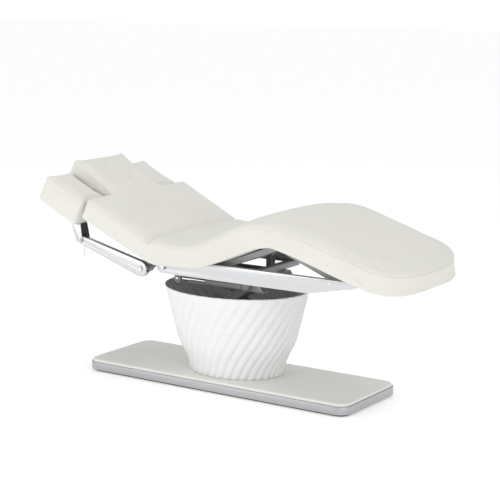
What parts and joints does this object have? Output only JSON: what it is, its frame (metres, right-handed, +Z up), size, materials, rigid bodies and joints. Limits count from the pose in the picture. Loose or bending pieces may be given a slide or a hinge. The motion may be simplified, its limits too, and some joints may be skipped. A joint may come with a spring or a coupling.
{
  "type": "medical exam table",
  "caption": "Powered treatment couch with a fluted oval pedestal, folding back, bent leg section and drop armrests beside a face-hole headrest.",
  "frame": {"origin": "centre of the base, on the floor", "axes": "+X towards the feet, +Y towards the patient's left when lying face up, +Z up"},
  "size_m": [2.0186, 0.79, 1.0558],
  "materials": {
    "rubber_foot": "matte",
    "base_steel": "satin",
    "trim_aluminium": "brushed satin",
    "mat_vinyl": "soft matte",
    "inlet_black": "matte",
    "cover_white": "satin",
    "lift_steel": "satin",
    "shaft_steel": "satin",
    "actuator_grey": "satin",
    "rod_chrome": "polished",
    "rail_aluminium": "satin",
    "board_black": "matte",
    "upholstery_ivory": "soft matte"
  },
  "bodies": {
    "base": {"floor_pad": "rubber_foot", "base_trim": "trim_aluminium", "base_plate": "base_steel", "base_mat": "mat_vinyl", "power_inlet": "inlet_black", "base_cover": "cover_white", "lift_base": "lift_steel", "lift_base_shaft": "shaft_steel", "lift_actuator_body": "actuator_grey"},
    "lift_lower_outer": {"lift_arm_lower_outer": "lift_steel", "lift_lower_centre_shaft": "shaft_steel", "lift_middle_shaft_foot": "shaft_steel"},
    "lift_lower_inner": {"lift_arm_lower_inner": "lift_steel", "lift_lower_roller_shaft": "shaft_steel", "lift_middle_shaft_head": "shaft_steel"},
    "lift_upper_outer": {"lift_arm_upper_outer": "lift_steel", "lift_upper_centre_shaft": "shaft_steel", "lift_upper_roller_shaft": "shaft_steel"},
    "lift_upper_inner": {"lift_arm_upper_inner": "lift_steel"},
    "lift_rod": {"lift_actuator_rod": "rod_chrome"},
    "upper_frame": {"lift_beam_left": "lift_steel", "lift_beam_right": "lift_steel", "cross_tube_head": "lift_steel", "cross_tube_foot": "lift_steel", "side_rail_left": "rail_aluminium", "side_rail_right": "rail_aluminium", "lift_top_shaft": "shaft_steel", "back_pivot_shaft": "shaft_steel", "thigh_pivot_shaft": "shaft_steel", "seat_board": "board_black", "seat_cushion": "upholstery_ivory", "back_actuator_body": "actuator_grey", "leg_actuator_body": "actuator_grey"},
    "back": {"back_cushion": "upholstery_ivory", "back_board": "board_black", "back_hinge_plate_left": "lift_steel", "back_hinge_plate_right": "lift_steel", "back_lever": "lift_steel", "swing_arm_bolt_left": "rod_chrome", "swing_arm_bolt_right": "rod_chrome"},
    "back_rod": {"back_actuator_rod": "rod_chrome"},
    "face_plug": {"face_plug": "upholstery_ivory"},
    "swing_arm_left": {"swing_arm_left": "rail_aluminium"},
    "swing_arm_right": {"swing_arm_right": "rail_aluminium"},
    "armrest_left": {"armrest_cushion_left": "upholstery_ivory", "armrest_board_left": "board_black", "armrest_bracket_left": "rail_aluminium"},
    "armrest_right": {"armrest_cushion_right": "upholstery_ivory", "armrest_board_right": "board_black", "armrest_bracket_right": "rail_aluminium"},
    "release_left": {"release_lever_left": "rod_chrome"},
    "release_right": {"release_lever_right": "rod_chrome"},
    "thigh": {"thigh_cushion": "upholstery_ivory", "thigh_frame": "lift_steel", "knee_shaft": "shaft_steel", "thigh_lever": "lift_steel"},
    "calf": {"calf_cushion": "upholstery_ivory", "calf_frame": "lift_steel", "calf_roller_shaft": "rod_chrome"},
    "leg_rod": {"leg_actuator_rod": "rod_chrome"}
  },
  "joints": [
    {"name": "lift", "type": "hinge", "parent": "base", "child": "lift_lower_outer", "pos_m": [-0.178, 0, 0.1002], "axis": [0, -1, 0], "range_deg": [-3.7, 21]},
    {"name": "lift_lower_cross", "type": "hinge", "parent": "lift_lower_outer", "child": "lift_lower_inner", "pos_m": [-0.01097, 0, 0.2102], "axis": [0, -1, 0], "range_deg": [-50, 12]},
    {"name": "lift_middle", "type": "hinge", "parent": "lift_lower_inner", "child": "lift_upper_outer", "pos_m": [-0.178, 0, 0.3202], "axis": [0, -1, 0], "range_deg": [-8.8, 50]},
    {"name": "lift_upper_cross", "type": "hinge", "parent": "lift_upper_outer", "child": "lift_upper_inner", "pos_m": [-0.01097, 0, 0.4302], "axis": [0, -1, 0], "range_deg": [-50, 12]},
    {"name": "lift_top", "type": "hinge", "parent": "lift_upper_inner", "child": "upper_frame", "pos_m": [-0.178, 0, 0.5402], "axis": [0, -1, 0], "range_deg": [-7, 26]},
    {"name": "lift_rod_slide", "type": "slide", "parent": "base", "child": "lift_rod", "axis": [1, 0, 0], "range_m": [-0.115, 0.025]},
    {"name": "back_raise", "type": "hinge", "parent": "upper_frame", "child": "back", "pos_m": [-0.229, 0, 0.607], "axis": [0, 1, 0], "range_deg": [-25.5, 25]},
    {"name": "back_rod_slide", "type": "slide", "parent": "upper_frame", "child": "back_rod", "axis": [-1, 0, 0], "range_m": [-0.036, 0.0355]},
    {"name": "face_plug_lift", "type": "slide", "parent": "back", "child": "face_plug", "axis": [0.4305, 0, 0.9026], "range_m": [0, 0.15]},
    {"name": "arm_swing_left", "type": "hinge", "parent": "back", "child": "swing_arm_left", "pos_m": [-0.33959, -0.326, 0.58884], "axis": [0, 1, 0], "range_deg": [-25, 2]},
    {"name": "arm_swing_right", "type": "hinge", "parent": "back", "child": "swing_arm_right", "pos_m": [-0.33959, 0.326, 0.58884], "axis": [0, 1, 0], "range_deg": [-25, 2]},
    {"name": "armrest_tilt_left", "type": "hinge", "parent": "swing_arm_left", "child": "armrest_left", "pos_m": [-0.71507, -0.326, 0.69592], "axis": [0, 1, 0], "range_deg": [-30, 2]},
    {"name": "armrest_tilt_right", "type": "hinge", "parent": "swing_arm_right", "child": "armrest_right", "pos_m": [-0.71507, 0.326, 0.69592], "axis": [0, 1, 0], "range_deg": [-30, 2]},
    {"name": "release_lever_left", "type": "hinge", "parent": "swing_arm_left", "child": "release_left", "pos_m": [-0.70366, -0.326, 0.65946], "axis": [0, 1, 0], "range_deg": [0, 20], "stiffness_Nm_per_rad": 0.4},
    {"name": "release_lever_right", "type": "hinge", "parent": "swing_arm_right", "child": "release_right", "pos_m": [-0.70366, 0.326, 0.65946], "axis": [0, 1, 0], "range_deg": [0, 20], "stiffness_Nm_per_rad": 0.4},
    {"name": "leg_raise", "type": "hinge", "parent": "upper_frame", "child": "thigh", "pos_m": [0.08, 0, 0.634], "axis": [0, -1, 0], "range_deg": [-19, 3]},
    {"name": "knee", "type": "hinge", "parent": "thigh", "child": "calf", "pos_m": [0.398, 0, 0.759], "axis": [0, -1, 0], "range_deg": [-6.2, 38.2]},
    {"name": "leg_rod_slide", "type": "slide", "parent": "upper_frame", "child": "leg_rod", "axis": [1, 0, 0], "range_m": [-0.043, 0.0075]}
  ],
  "couplings": [
    {"joint": "lift_lower_cross", "follows": "lift", "ratio": -2},
    {"joint": "lift_middle", "follows": "lift", "ratio": 2},
    {"joint": "lift_upper_cross", "follows": "lift", "ratio": -2},
    {"joint": "lift_top", "follows": "lift", "ratio": 1},
    {"joint": "lift_rod_slide", "follows": "lift", "m_per_rad": -0.262},
    {"joint": "back_rod_slide", "follows": "back_raise", "m_per_rad": 0.078},
    {"joint": "knee", "follows": "leg_raise", "ratio": -2},
    {"joint": "leg_rod_slide", "follows": "leg_raise", "m_per_rad": 0.1275}
  ]
}
